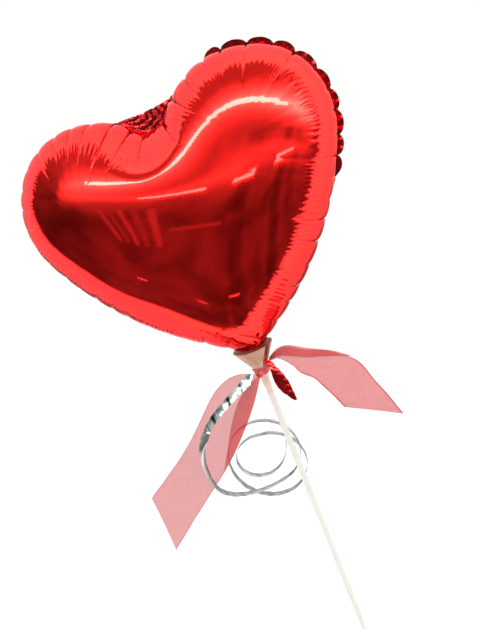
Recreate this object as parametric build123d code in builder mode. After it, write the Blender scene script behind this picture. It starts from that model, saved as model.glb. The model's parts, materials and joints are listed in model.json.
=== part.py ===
"""Heart-shaped foil balloon on a cup and stick, with an organza tie and a curling ribbon.

Frame: origin at the centre of the stick's lower end, +Z up along the stick.
The heart's front faces -Y, and +X is to the right as seen from the front.
All lengths are in millimetres.
"""
import os
from math import atan2, cos, hypot, pi, radians, sin, sqrt

from build123d import *

os.makedirs("parts", exist_ok=True)

# ---------------------------------------------------------------- stick
stick_length = 188.0
stick_radius = 2.0
stick_bore_radius = 1.5

# ---------------------------------------------------------------- cup
plug_depth = 12.0                  # spigot pushed into the tube
plug_clearance = 0.05
shoulder_radius = 1.8              # rests on the tube's top edge
stem_top_radius = 3.2
cup_base_height = stick_length + 15.5
cup_height = 16.0
cup_rim_radius = 13.0
cup_wall = 0.8
cup_floor = 1.5
slot_width = 4.8
slot_bottom = cup_base_height + 3.3
slot_direction = -35.0             # degrees about Z, from +X towards the front

# ---------------------------------------------------------------- heart
film = 0.3                         # stand-in thickness of one foil film
flange = 5.0                       # heat-sealed rim outside the inflated body
half_depth = 47.5
heart_lean = -3.2                  # degrees about Y, the balloon leans to -X
hinge_height = stick_length + 37.5 # centre of the heart's rounded tip

lobe_x, lobe_z, lobe_radius = 48.0, 107.5, 45.4    # lobe centre from the tip centre
side_radius = 190.0
tip_radius = 4.5
cleft_radius = 19.4

# the same measures where the bulge closes at the front
cap_lobe_x, cap_lobe_z, cap_lobe_radius = 6.0, 98.0, 16.0
cap_side_radius = 90.0
cap_tip_z, cap_tip_radius = 82.0, 14.0
cap_cleft_radius = 60.0
bulge_angles = [0, 10, 22, 35, 48, 62, 78]

# ---------------------------------------------------------------- ribbons
organza_width = 27.0
organza_thickness = 0.3
knot_radius = 2.6
curl_width = 5.0
curl_thickness = 0.3
coil_x, coil_z, coil_radius = -22.5, 152.0, 25.5   # centre and radius of the first turn
coil_drop = 13.2                   # the centre sinks this much in each turn
coil_front_y, coil_behind_y, coil_end_y = -30.0, 8.0, 23.0


# ---------------------------------------------------------------- helpers
def section_plane(centre, across, along):
    """Plane at a ribbon section: local x across the ribbon, normal along it."""
    across = Vector(*across).normalized()
    along = Vector(*along)
    along = (along - across * along.dot(across)).normalized()
    return Plane(origin=Vector(*centre), x_dir=across, z_dir=along)


def band_planes(edges):
    """Section planes and widths for a band given by pairs of edge points."""
    middles = [(Vector(*a) + Vector(*b)) * 0.5 for a, b in edges]
    planes = []
    widths = []
    for i, (a, b) in enumerate(edges):
        before = middles[max(i - 1, 0)]
        after = middles[min(i + 1, len(middles) - 1)]
        across = Vector(*b) - Vector(*a)
        planes.append(section_plane(middles[i], across, after - before))
        widths.append(across.length)
    return planes, widths


def heart_outline(lx, lz, lr, sr, tz, tr, cr):
    """Heart of tangent arcs: cleft, lobes, sides and tip, about the tip centre."""
    top_z = lz + sqrt((cr + lr) ** 2 - lx ** 2)          # centre of the cleft arc
    reach = hypot(lx, lz - tz)                            # lobe centre to tip centre
    near, far = sr - lr, sr - tr                          # side centre to lobe and tip
    drop = (near ** 2 - far ** 2 + reach ** 2) / (2 * reach)
    rise = sqrt(near ** 2 - drop ** 2)
    ux, uz = -lx / reach, (tz - lz) / reach               # from the lobe towards the tip
    side_x = lx + drop * ux + rise * uz
    side_z = lz + drop * uz - rise * ux

    def on(cx, cz, r, angle):
        return (cx + r * cos(angle), cz + r * sin(angle))

    cleft_angle = atan2(lz - top_z, lx)
    lobe_from = atan2(top_z - lz, -lx)
    lobe_to = atan2(lz - side_z, lx - side_x)
    side_to = atan2(tz - side_z, -side_x)

    cleft_end = on(0, top_z, cr, cleft_angle)
    lobe_mid = on(lx, lz, lr, (lobe_from + lobe_to) / 2)
    lobe_end = on(lx, lz, lr, lobe_to)
    side_mid = on(side_x, side_z, sr, (lobe_to + side_to) / 2)
    side_end = on(0, tz, tr, side_to)

    def left(p):
        return (-p[0], p[1])

    ThreePointArc(left(cleft_end), (0, top_z - cr), cleft_end)
    ThreePointArc(cleft_end, lobe_mid, lobe_end)
    ThreePointArc(lobe_end, side_mid, side_end)
    ThreePointArc(side_end, (0, tz - tr), left(side_end))
    ThreePointArc(left(side_end), left(side_mid), left(lobe_end))
    ThreePointArc(left(lobe_end), left(lobe_mid), left(cleft_end))


def heart_measures(angle, grow=0.0):
    """Outline measures part of the way round the bulge; grow offsets the outline."""
    s = 1 - cos(radians(angle))
    t = sin(radians(angle))                               # the tip recedes faster

    def mix(seam, cap, w):
        return seam * (1 - w) + cap * w

    return (
        mix(lobe_x, cap_lobe_x, s),
        mix(lobe_z, cap_lobe_z, s),
        mix(lobe_radius, cap_lobe_radius, s) + grow,
        mix(side_radius, cap_side_radius, s) + grow,
        mix(0, cap_tip_z, t),
        mix(tip_radius, cap_tip_radius, t) + grow,
        mix(cleft_radius, cap_cleft_radius, s) - grow,
    )


def heart_plane(depth):
    """Plane parallel to the seam, depth in front of it, leaning with the balloon."""
    lean = radians(heart_lean)
    return Plane(
        origin=(0, -depth, hinge_height), x_dir=(cos(lean), 0, -sin(lean)), z_dir=(0, -1, 0)
    )


# ================================================================ stick
with BuildPart() as stick:
    with BuildSketch(Plane.XY):
        Circle(stick_radius)
        Circle(stick_bore_radius, mode=Mode.SUBTRACT)
    extrude(amount=stick_length)

# ================================================================ cup
plug_radius = stick_bore_radius - plug_clearance
cup_rim_height = cup_base_height + cup_height
with BuildPart() as cup:
    with BuildSketch(Plane.XZ):
        with BuildLine():
            Polyline(
                (0, stick_length - plug_depth),
                (plug_radius, stick_length - plug_depth),
                (plug_radius, stick_length),
                (shoulder_radius, stick_length),
                (stem_top_radius, cup_base_height),
                (cup_rim_radius, cup_rim_height),
                (cup_rim_radius - cup_wall, cup_rim_height),
                (stem_top_radius - 0.4, cup_base_height + cup_floor),
                (0, cup_base_height + cup_floor),
                close=True,
            )
        make_face()
    revolve(axis=Axis.Z)
    # slot for the balloon's neck, open at the rim
    with BuildSketch(Plane.XY.offset(slot_bottom)):
        with Locations(Rotation(0, 0, slot_direction)):
            Rectangle(cup_rim_radius + 1, slot_width, align=(Align.MIN, Align.CENTER))
    extrude(amount=cup_height, mode=Mode.SUBTRACT)

# ================================================================ balloon films
with BuildPart() as front_panel:
    for angle in bulge_angles:
        with BuildSketch(heart_plane(half_depth * sin(radians(angle)))):
            with BuildLine():
                heart_outline(*heart_measures(angle))
            make_face()
    loft()
    for angle in bulge_angles:
        with BuildSketch(heart_plane((half_depth - film) * sin(radians(angle)))):
            with BuildLine():
                heart_outline(*heart_measures(angle, -film))
            make_face()
    loft(mode=Mode.SUBTRACT)
    with BuildSketch(heart_plane(0)):
        with BuildLine():
            heart_outline(*heart_measures(0, flange))
        make_face()
        with BuildLine():
            heart_outline(*heart_measures(0, -film))
        make_face(mode=Mode.SUBTRACT)
    extrude(amount=film)

with BuildPart() as rear_panel:
    add(mirror(front_panel.part, about=Plane.XZ))

# flat filling valve sealed inside the neck, lying on the seam plane above the tip
with BuildPart() as filling_valve:
    with BuildSketch(heart_plane(-0.15)):
        with BuildLine():
            Polyline((-4, 4), (4, 4), (9, 16), (9, 44), (-9, 44), (-9, 16), close=True)
        make_face()
    extrude(amount=0.3)

# ================================================================ neck tail
# gathered foil neck: through the slot, over the cup's edge and down
neck_sections = [
    # centre, across, along, half width, half thickness
    ((1.2, -0.8, 208.6), (0.57, 0.82, 0), (0.82, -0.57, 0), 1.5, 0.8),
    ((5.4, -3.8, 208.7), (0.57, 0.82, 0), (0.82, -0.57, -0.1), 1.7, 0.8),
    ((8.0, -5.9, 205.0), (0.75, 0.60, 0.3), (0.35, -0.2, -1), 2.2, 0.7),
    ((10.0, -7.0, 196.0), (0.97, 0.1, 0.2), (0.2, -0.1, -1), 3.8, 0.6),
    ((12.2, -7.6, 188.0), (0.95, 0, 0.3), (0.35, 0, -1), 3.2, 0.5),
    ((15.2, -8.0, 180.5), (0.95, 0, 0.35), (0.35, 0, -1), 0.8, 0.3),
]
with BuildPart() as foil_neck_tail:
    for centre, across, along, half_width, half_thick in neck_sections:
        with BuildSketch(section_plane(centre, across, along)):
            Ellipse(half_width, half_thick)
    loft()

# ================================================================ organza tie
# a band drawn tight under the bowl, and its knot at the front
tie_low, tie_high = cup_base_height - 2.5, cup_base_height + 2.4
bowl_slope = (cup_rim_radius - stem_top_radius) / cup_height
tie_gap = 0.1
tie_high_radius = stem_top_radius + bowl_slope * (tie_high - cup_base_height) + tie_gap
with BuildPart() as organza_tie:
    with BuildSketch(Plane.XZ):
        with BuildLine():
            Polyline(
                (stem_top_radius + tie_gap, tie_low),
                (stem_top_radius + tie_gap, cup_base_height),
                (tie_high_radius, tie_high),
                (tie_high_radius + 0.9, tie_high - 0.4),
                (stem_top_radius + 1.9, cup_base_height - 0.3),
                (stem_top_radius + 1.3, tie_low),
                close=True,
            )
        make_face()
    revolve(axis=Axis.Z)
    with Locations((-0.6, -6.2, cup_base_height - 0.2)):
        Sphere(knot_radius)

# long tail to the left: pairs of upper and lower edge points
left_edges = [
    ((-6.4, -8.4, 207.6), (-4.0, -8.4, 201.4)),
    ((-22.5, -10, 206.8), (-6.0, -10, 193.0)),
    ((-34.0, -13, 199.5), (-15.5, -13, 180.5)),
    ((-47.0, -17, 186.5), (-27.5, -17, 167.0)),
    ((-70.5, -23, 167.0), (-49.5, -23, 147.5)),
    ((-93.0, -29, 147.5), (-92.0, -29, 107.0)),
]
with BuildPart() as organza_left_tail:
    planes, widths = band_planes(left_edges)
    for plane, width in zip(planes, widths):
        with BuildSketch(plane):
            Rectangle(width, organza_thickness)
    loft()

# short tail to the right: runs out flat, then turns its face to the front
right_edges = [
    ((12.8, 3.5, 214.0), (9.6, -0.5, 205.5)),
    ((20.5, 9.0, 213.0), (17.0, -12, 204.0)),
    ((32.0, 9.0, 206.5), (24.5, -14, 199.0)),
    ((43.0, 5.0, 200.0), (29.0, -16, 196.0)),
    ((53.0, -1.0, 195.5), (32.5, -17, 192.0)),
    ((60.0, -6.0, 188.0), (37.5, -18, 182.5)),
    ((66.5, -11, 174.0), (42.0, -18, 173.0)),
    ((78.0, -15, 156.0), (46.0, -17, 164.5)),
]
with BuildPart() as organza_right_tail:
    planes, widths = band_planes(right_edges)
    for plane, width in zip(planes, widths):
        with BuildSketch(plane):
            Rectangle(width, organza_thickness)
    loft()

# ================================================================ curling ribbon
# a lead from the knot, then two and a half turns of coil about an axis along Y
lead_sections = [
    # centre, across, along
    ((-3.5, -11.5, 205.5), (0.5, 0, 0.86), (-0.8, -0.5, -0.3)),
    ((-12.0, -17, 202.0), (0.45, 0, 0.9), (-0.86, -0.4, -0.3)),
    ((-25.0, -23, 196.0), (0.5, 0.1, 0.86), (-0.85, -0.3, -0.5)),
    ((-38.0, -28, 187.0), (0.6, 0.4, 0.7), (-0.75, -0.2, -0.7)),
    ((-45.5, -30.5, 175.5), (0.45, 0.85, 0.2), (-0.4, 0, -0.9)),
]
coil_from, coil_turns, coil_step = 160.0, 2.5, 18.0
behind_turn = 0.38                 # by here the ribbon has passed behind the stick
curl_in_turn = 1.8                 # from here the free end curls in


def coil_section(angle):
    """Centre and direction of the coil, which sinks and moves back as it turns."""
    turn = (angle - coil_from) / 360
    if turn < behind_turn:
        passed = (1 - cos(pi * turn / behind_turn)) / 2
        y = coil_front_y + (coil_behind_y - coil_front_y) * passed
    else:
        passed = (turn - behind_turn) / (coil_turns - behind_turn)
        y = coil_behind_y + (coil_end_y - coil_behind_y) * passed
    curl_in = max(turn - curl_in_turn, 0)
    radius = coil_radius - 14.0 * curl_in
    z = coil_z - coil_drop * turn + 40.0 * curl_in
    a = radians(angle)
    return (coil_x + radius * cos(a), y, z + radius * sin(a)), (-sin(a), 0, cos(a))


with BuildPart() as curling_ribbon:
    for centre, across, along in lead_sections:
        with BuildSketch(section_plane(centre, across, along)):
            Rectangle(curl_width, curl_thickness)
    angle = coil_from + coil_step
    while angle <= coil_from + 360 * coil_turns:
        centre, along = coil_section(angle)
        with BuildSketch(section_plane(centre, (0, 1, 0), along)):
            Rectangle(curl_width, curl_thickness)
        angle += coil_step
    loft()

# ================================================================ export
pieces = {
    "stick": stick,
    "cup": cup,
    "front_panel": front_panel,
    "rear_panel": rear_panel,
    "filling_valve": filling_valve,
    "foil_neck_tail": foil_neck_tail,
    "organza_tie": organza_tie,
    "organza_left_tail": organza_left_tail,
    "organza_right_tail": organza_right_tail,
    "curling_ribbon": curling_ribbon,
}
for name, piece in pieces.items():
    piece.part.label = name
    export_step(piece.part, f"parts/{name}.step")
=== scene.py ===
"""Looks of the heart-shaped foil balloon: foil, organza, curling ribbon, cup and stick."""
import json
import math

import bpy
import numpy as np
from mathutils import Matrix, Vector
from mathutils.geometry import delaunay_2d_cdt
from mathutils.kdtree import KDTree

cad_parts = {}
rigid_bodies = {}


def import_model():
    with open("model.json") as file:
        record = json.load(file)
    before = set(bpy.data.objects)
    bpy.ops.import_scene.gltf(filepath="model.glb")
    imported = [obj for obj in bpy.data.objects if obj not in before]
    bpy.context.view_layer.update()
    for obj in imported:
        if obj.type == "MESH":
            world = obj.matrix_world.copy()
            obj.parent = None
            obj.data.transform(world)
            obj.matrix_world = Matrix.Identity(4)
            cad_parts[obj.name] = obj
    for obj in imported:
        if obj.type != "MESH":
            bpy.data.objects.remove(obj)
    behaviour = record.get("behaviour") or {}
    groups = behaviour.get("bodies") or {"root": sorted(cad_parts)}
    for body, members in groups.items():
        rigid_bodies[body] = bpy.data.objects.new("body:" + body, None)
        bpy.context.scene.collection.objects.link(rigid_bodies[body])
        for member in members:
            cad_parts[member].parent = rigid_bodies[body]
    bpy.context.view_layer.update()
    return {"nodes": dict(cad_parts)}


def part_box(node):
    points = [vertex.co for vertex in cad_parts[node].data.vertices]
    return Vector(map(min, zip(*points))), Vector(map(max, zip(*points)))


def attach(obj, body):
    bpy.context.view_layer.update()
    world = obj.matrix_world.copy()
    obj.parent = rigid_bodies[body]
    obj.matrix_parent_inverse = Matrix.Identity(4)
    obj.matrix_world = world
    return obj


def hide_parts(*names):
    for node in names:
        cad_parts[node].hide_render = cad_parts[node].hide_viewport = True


for leftover in list(bpy.data.objects):
    bpy.data.objects.remove(leftover, do_unlink=True)
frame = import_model()
MM = 0.001
rng = np.random.default_rng(7)

BALLOON, CUP = "balloon", "cup"


# ================================================================ mesh helpers
def coords(mesh):
    """Vertex coordinates of a mesh as an array."""
    co = np.zeros(len(mesh.vertices) * 3, np.float32)
    mesh.vertices.foreach_get("co", co)
    return co.reshape(-1, 3).astype(float)


def triangles(mesh):
    """Triangles of a mesh as an array of vertex indices."""
    mesh.calc_loop_triangles()
    tri = np.zeros(len(mesh.loop_triangles) * 3, np.int32)
    mesh.loop_triangles.foreach_get("vertices", tri)
    return tri.reshape(-1, 3)


def cad_faces(node):
    """The CAD faces of a node: (coordinates, list of triangle arrays), one array per face."""
    mesh = frame["nodes"][node].data
    co, tri = coords(mesh), triangles(mesh)
    label = np.arange(len(co))
    while True:
        low = label[tri].min(1)
        before = label.copy()
        for k in range(3):
            np.minimum.at(label, tri[:, k], low)
        label = label[label]
        if (label == before).all():
            break
    keys = label[tri[:, 0]]
    return co, [tri[keys == k] for k in np.unique(keys)]


def area(co, tri):
    """Area of a triangle patch."""
    a, b, c = co[tri[:, 0]], co[tri[:, 1]], co[tri[:, 2]]
    return 0.5 * np.linalg.norm(np.cross(b - a, c - a), axis=1).sum()


def loops(tri):
    """Boundary loops of a triangle patch, as lists of vertex indices in order."""
    edges = set()
    for a, b, c in tri.tolist():
        edges.update(((a, b), (b, c), (c, a)))
    after = {a: b for a, b in edges if (b, a) not in edges}
    found = []
    while after:
        loop = []
        a = next(iter(after))
        while a in after:
            loop.append(a)
            a = after.pop(a)
        found.append(loop)
    return found


def lengths(vectors):
    """Length of each row of an array."""
    return np.linalg.norm(vectors, axis=1)


def run_length(path):
    """Distance along a path at each of its points."""
    return np.r_[0, np.cumsum(lengths(np.diff(path, axis=0)))]


def unit(vectors):
    """Rows of an array, each scaled to length 1."""
    return vectors / lengths(vectors)[:, None]


def search_tree(points):
    """A tree that finds the nearest of some points in the seam plane."""
    tree = KDTree(len(points))
    for i, p in enumerate(points):
        tree.insert((p[0], p[1], 0), i)
    tree.balance()
    return tree


def bell(distance, radius):
    """1 at distance 0, fading out smoothly over a radius."""
    return np.exp(-(distance / radius) ** 2)


def resample(path, count, closed=False):
    """Points spaced evenly along a path."""
    p = np.vstack([path, path[:1]]) if closed else path
    d = run_length(p)
    t = np.linspace(0, d[-1], count, endpoint=not closed)
    return np.stack([np.interp(t, d, p[:, k]) for k in range(p.shape[1])], 1)


def add_object(name, data):
    """A new object in the scene."""
    obj = bpy.data.objects.new(name, data)
    bpy.context.scene.collection.objects.link(obj)
    return obj


def make_object(name, co, faces, body, uv=None, corner_uv=None):
    """A smooth mesh object that rides on a body; uv is per vertex, corner_uv per face corner."""
    mesh = bpy.data.meshes.new(name)
    mesh.from_pydata(co.tolist(), [], faces)
    mesh.update()
    mesh.shade_smooth()
    if uv is not None:
        index = np.zeros(len(mesh.loops), np.int32)
        mesh.loops.foreach_get("vertex_index", index)
        corner_uv = uv[index]
    if corner_uv is not None:
        layer = mesh.uv_layers.new(name="UVMap")
        layer.data.foreach_set("uv", corner_uv.astype(np.float32).ravel())
    obj = add_object(name, mesh)
    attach(obj, body)
    return obj


def grid_faces(rows, cols, closed=False):
    """Quads between the points of a grid; closed joins the last column to the first."""
    faces = []
    for i in range(rows - 1):
        for j in range(cols if closed else cols - 1):
            k = (j + 1) % cols
            faces.append((i * cols + j, i * cols + k, (i + 1) * cols + k, (i + 1) * cols + j))
    return faces


def vertex_normals(co, tri):
    """Area-weighted normals at the vertices."""
    n = np.cross(co[tri[:, 1]] - co[tri[:, 0]], co[tri[:, 2]] - co[tri[:, 0]])
    out = np.zeros_like(co)
    for k in range(3):
        np.add.at(out, tri[:, k], n)
    return out / (lengths(out)[:, None] + 1e-12)


def smooth_noise(x, scale, seed, octaves=2):
    """Soft 1-D noise in -1..1 made of sines with random phases."""
    r = np.random.default_rng(seed)
    out = np.zeros_like(x)
    for k in range(octaves * 3):
        f = (1 + r.uniform(0, 1.6) + k // 3) / scale
        out += np.sin(2 * math.pi * x * f + r.uniform(0, 2 * math.pi)) / (1 + k // 3)
    return out / (octaves * 1.6)


# ================================================================ balloon: the seam from the CAD
RIM = 4.2 * MM               # width of the heat-sealed rim
STEP = 0.78 * MM             # spacing of points along the seam
FIELD_STEP = 0.90 * MM       # spacing of points on the open film
RINGS = 16                   # rings of points on the steep wall next to the seam
RING_REACH = 5 * MM          # how far the rings reach in from the seam
SMOOTH_REACH = 10            # points to each side that smooth the seam
SMOOTH_SIGMA = 3.5
CG_STEPS = 900
ARC = 1.08                   # length over the curved film compared with the straight line
WALL_SAG = 0.375             # how much the membrane's height curves beside the seam
CLEFT_DIP, CLEFT_REACH = 0.42, 25 * MM           # the dip between the lobes
CONE_START, CONE_SLOPE = 4.5 * MM, 0.90          # fullness of the tip in the cup
CONE_TOP, CONE_BLEND = 28 * MM, 14 * MM          # where it has turned into the open film


def rim_outline():
    """Outer edge of the balloon's rim in the XZ plane, evenly spaced, from the front panel."""
    co, patches = cad_faces("front_panel")
    best, size = None, 0
    for tri in patches:
        if np.abs(co[tri.ravel(), 1]).max() > 0.05 * MM:
            continue
        for loop in loops(tri):
            p = co[loop][:, [0, 2]]
            span = np.ptp(p, axis=0).sum()
            if span > size:
                best, size = p, span
    length = run_length(np.vstack([best, best[:1]]))[-1]
    p = resample(best, int(round(length / STEP)), closed=True)
    p = np.roll(p, -int(np.argmin(p[:, 1])), axis=0)
    x, z = p[:, 0], p[:, 1]
    if (x * np.roll(z, -1) - np.roll(x, -1) * z).sum() < 0:
        p = np.roll(p[::-1], 1, axis=0)
    shifts = np.arange(-SMOOTH_REACH, SMOOTH_REACH + 1)
    kernel = np.exp(-0.5 * (shifts / SMOOTH_SIGMA) ** 2)
    kernel /= kernel.sum()
    return sum(w * np.roll(p, k, axis=0) for k, w in zip(shifts, kernel))


def inward(p):
    """Unit normals that point into a closed outline, and its unit tangents."""
    t = unit(np.roll(p, -1, 0) - np.roll(p, 1, 0))
    return np.stack([-t[:, 1], t[:, 0]], 1), t


def smoothstep(x):
    """Smooth rise from 0 to 1 as x goes from 0 to 1."""
    x = np.clip(x, 0, 1)
    return x * x * (3 - 2 * x)


def rim_width(outline):
    """Width of the sealed rim: full on the lobes, less on the right flank and at the tip."""
    into = inward(outline)[0]
    width = np.full(len(outline), RIM)
    width -= 1.5 * MM * smoothstep(-into[:, 0] * 1.3 - 0.2)
    from_tip = lengths(outline - outline[0])
    return width * (1 - 0.72 * bell(from_tip, 15 * MM))


outline = rim_outline()
rim = rim_width(outline)
seam = outline + inward(outline)[0] * rim[:, None]
seam_in, seam_along = inward(seam)
COUNT = len(seam)
seam_step = lengths(np.roll(seam, -1, 0) - seam)
seam_s = np.r_[0, np.cumsum(seam_step)[:-1]]
SEAM_LENGTH = seam_step.sum()
tip = seam[0]
tip_distance = lengths(seam - tip)
HALF_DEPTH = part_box("rear_panel")[1].y


def inside(p, poly):
    """True for the points that lie inside a polygon."""
    hit = np.zeros(len(p), bool)
    x, y = p[:, 0], p[:, 1]
    for (x1, y1), (x2, y2) in zip(np.roll(poly, 1, 0), poly):
        hit ^= ((y1 > y) != (y2 > y)) & (x < (x2 - x1) * (y - y1) / (y2 - y1 + 1e-15) + x1)
    return hit


def flat_mesh():
    """Points of the heart in the seam plane: rings beside the seam, then an even field."""
    reach = RING_REACH * (1 - 0.45 * bell(tip_distance, 9 * MM))
    rings = [seam + seam_in * (reach * (k / RINGS) ** 2)[:, None] for k in range(RINGS + 1)]
    inner = rings[-1]
    h = FIELD_STEP
    lo, hi = inner.min(0), inner.max(0)
    field = []
    for j, z in enumerate(np.arange(lo[1], hi[1], h * 0.866)):
        for x in np.arange(lo[0] + (j % 2) * h / 2, hi[0], h):
            field.append((x, z))
    field = np.array(field)
    field += rng.uniform(-0.12, 0.12, field.shape) * h
    field = field[inside(field, inner)]
    tree = search_tree(inner)
    far = [tree.find((x, z, 0))[2] > 0.75 * h for x, z in field]
    field = field[np.array(far)]
    pts = np.vstack([inner, field])
    edges = [(i, (i + 1) % COUNT) for i in range(COUNT)]
    out = delaunay_2d_cdt([Vector(p) for p in pts], edges, [list(range(COUNT))], 1, 1e-9)
    co2 = np.array([tuple(v) for v in out[0]])
    tri = np.array([tuple(f) for f in out[2] if len(f) == 3])
    points = np.vstack(rings[:-1] + [co2])
    wall = []
    for k in range(RINGS):
        for i in range(COUNT):
            j = (i + 1) % COUNT
            a, b = k * COUNT + i, k * COUNT + j
            wall.append((a, b, b + COUNT))
            wall.append((a, b + COUNT, a + COUNT))
    return points, np.vstack([np.array(wall), tri + RINGS * COUNT]), tri, co2, reach


def membrane(co2, tri):
    """Height of a membrane under even pressure, zero at the seam.

    Linear finite elements, solved by conjugate gradients. Triangles between the field and
    the seam close the mesh; only the field's own points are unknown.
    """
    strip = []
    n = len(co2)
    for i in range(COUNT):
        j = (i + 1) % COUNT
        strip.append((n + i, n + j, j))
        strip.append((n + i, j, i))
    p = np.vstack([co2, seam]) / MM
    t = np.vstack([tri, np.array(strip)])
    i0, i1, i2 = t[:, 0], t[:, 1], t[:, 2]

    def twice_area(u, v):
        return np.abs(u[:, 0] * v[:, 1] - u[:, 1] * v[:, 0])

    def cot(a, b, c):
        u, v = p[b] - p[a], p[c] - p[a]
        return (u * v).sum(1) / (twice_area(u, v) + 1e-12)

    w = np.concatenate([cot(i0, i1, i2), cot(i1, i2, i0), cot(i2, i0, i1)]) / 2
    a = np.concatenate([i1, i2, i0])
    b = np.concatenate([i2, i0, i1])
    third = twice_area(p[i1] - p[i0], p[i2] - p[i0]) / 6        # of each area, to each corner
    load = np.bincount(t.ravel(), np.repeat(third, 3), minlength=len(p))[:n]
    diag = (np.bincount(a, w, minlength=len(p)) + np.bincount(b, w, minlength=len(p)))[:n]
    keep = (a < n) & (b < n)
    a, b, w = a[keep], b[keep], w[keep]

    def apply(x):
        from_b = np.bincount(a, w * x[b], minlength=n)
        return diag * x - from_b - np.bincount(b, w * x[a], minlength=n)

    x = np.zeros(n)
    r = load - apply(x)
    z = r / diag
    d = z.copy()
    rz = (r * z).sum()
    for _ in range(CG_STEPS):
        q = apply(d)
        alpha = rz / (d * q).sum()
        x += alpha * d
        r -= alpha * q
        if np.abs(r).max() < 1e-7 * np.abs(load).max():
            break
        z = r / diag
        new = (r * z).sum()
        d = z + d * (new / rz)
        rz = new
    return x


points2, balloon_tri, inner_tri, inner_co, ring_reach = flat_mesh()
u_inner = membrane(inner_co, inner_tri)
u = np.zeros(len(points2))
u[RINGS * COUNT:] = u_inner
reach_mm = ring_reach / MM
slope = u_inner[:COUNT] / reach_mm + WALL_SAG * reach_mm
for k in range(1, RINGS):
    d = reach_mm * (k / RINGS) ** 2
    u[k * COUNT:(k + 1) * COUNT] = slope * d - WALL_SAG * d * d
height = HALF_DEPTH * np.sqrt(np.clip(u / u.max(), 0, 1))

# the film dips between the two lobes, where the seam turns inward
upper = seam[:, 1] > seam[:, 1].mean()
middle_part = upper & (np.abs(seam[:, 0] - seam[:, 0].mean()) < 25 * MM)
cleft = seam[middle_part][np.argmin(seam[middle_part][:, 1])]
cleft_distance = lengths(points2 - cleft)
height *= 1 - CLEFT_DIP * np.clip(1 - cleft_distance / CLEFT_REACH, 0, 1) ** 1.6
# and is stuffed full where it sits in the cup: a blunt cone that meets the open film
above_tip = points2[:, 1] - tip[1]
levels = np.arange(0, 34, 2) * MM
crest = np.array([height[np.abs(above_tip - level) < 1.2 * MM].max() for level in levels])
crest = np.interp(above_tip, levels, crest)
cone = CONE_START + CONE_SLOPE * above_tip
stuffing = np.clip(cone / np.maximum(crest, 1 * MM), 1, 3) - 1
height *= 1 + stuffing * smoothstep((CONE_TOP - above_tip) / CONE_BLEND)

# position along the seam and distance from it for every vertex
seam_tree = search_tree(seam)
near = np.array([seam_tree.find((x, z, 0))[1] for x, z in points2])
off = points2 - seam[near]
along = (seam_s[near] + (off * seam_along[near]).sum(1)) % SEAM_LENGTH
flat_distance = lengths(off)
for k in range(RINGS + 1):
    rows = slice(k * COUNT, (k + 1) * COUNT)
    along[rows] = seam_s
    flat_distance[rows] = ring_reach * (k / RINGS) ** 2
film_distance = ARC * np.hypot(flat_distance, height)


# ================================================================ balloon: puckers
GAP = (10.5, 14.5)           # mm between creases
GAP_CLOSER = 0.50            # share by which the gap shrinks in the cleft
SWAY, SWAY_REACH = 0.08, 28 * MM                      # how creases wander on their way in
MAJOR_SHARE = 0.55           # share of the creases that are deep and long
CUSHION = 0.55 * MM          # height of the round cushions between the creases
MINOR_DEPTH, MINOR_LENGTH = (0.4, 0.8), (9, 16)       # mm
MAJOR_DEPTH, MAJOR_LENGTH = (0.9, 1.5), (25, 38)      # mm


def make_creases():
    """Positions, depths and lengths of the pucker creases round the seam."""
    places = []
    s_cleft = seam_s[np.argmin(lengths(seam - cleft))]
    s = 3 * MM
    while s < SEAM_LENGTH - 3 * MM:
        places.append(s)
        in_cleft = bell(s - s_cleft, 8 * MM)
        s += rng.uniform(*GAP) * MM * (1 - GAP_CLOSER * in_cleft)
    places = np.array(places)
    n = len(places)
    depth = rng.uniform(*MINOR_DEPTH, n) * MM
    length = rng.uniform(*MINOR_LENGTH, n) * MM
    major = rng.uniform(0, 1, n) < MAJOR_SHARE
    depth[major] = rng.uniform(*MAJOR_DEPTH, major.sum()) * MM
    length[major] = rng.uniform(*MAJOR_LENGTH, major.sum()) * MM
    at = np.stack([np.interp(places, seam_s, seam[:, k]) for k in (0, 1)], 1)
    by_cleft = bell(lengths(at - cleft), 28 * MM)
    length += 14 * MM * by_cleft
    depth += 0.3 * MM * by_cleft
    by_tip = bell(lengths(at - tip), 30 * MM)
    length += 4 * MM * by_tip
    depth = np.maximum(depth, 0.7 * MM * by_tip)
    return places, depth, length


crease_s, crease_depth, crease_length = make_creases()
TABS = len(crease_s)
wrapped = np.r_[crease_s[-1] - SEAM_LENGTH, crease_s, crease_s[0] + SEAM_LENGTH]
seam_phase = np.interp(seam_s, wrapped, np.arange(-1, TABS + 1))
TAB_PITCH = SEAM_LENGTH / TABS


def phase_at(s):
    """Tab number (with fraction) at a seam position; the creases sit at whole numbers."""
    return np.interp(s % SEAM_LENGTH, np.r_[seam_s, SEAM_LENGTH],
                     np.r_[seam_phase, seam_phase[0] + TABS])


def film_phase(seed):
    """Phase at every film point: the creases wander sideways a little as they run inward."""
    sway = SWAY * smooth_noise(along, 80 * MM, seed)
    return phase_at(along + sway * np.clip(film_distance - 2 * MM, 0, SWAY_REACH))


right_flank = smoothstep(-seam_in[near][:, 0] * 1.3 - 0.2)


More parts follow.
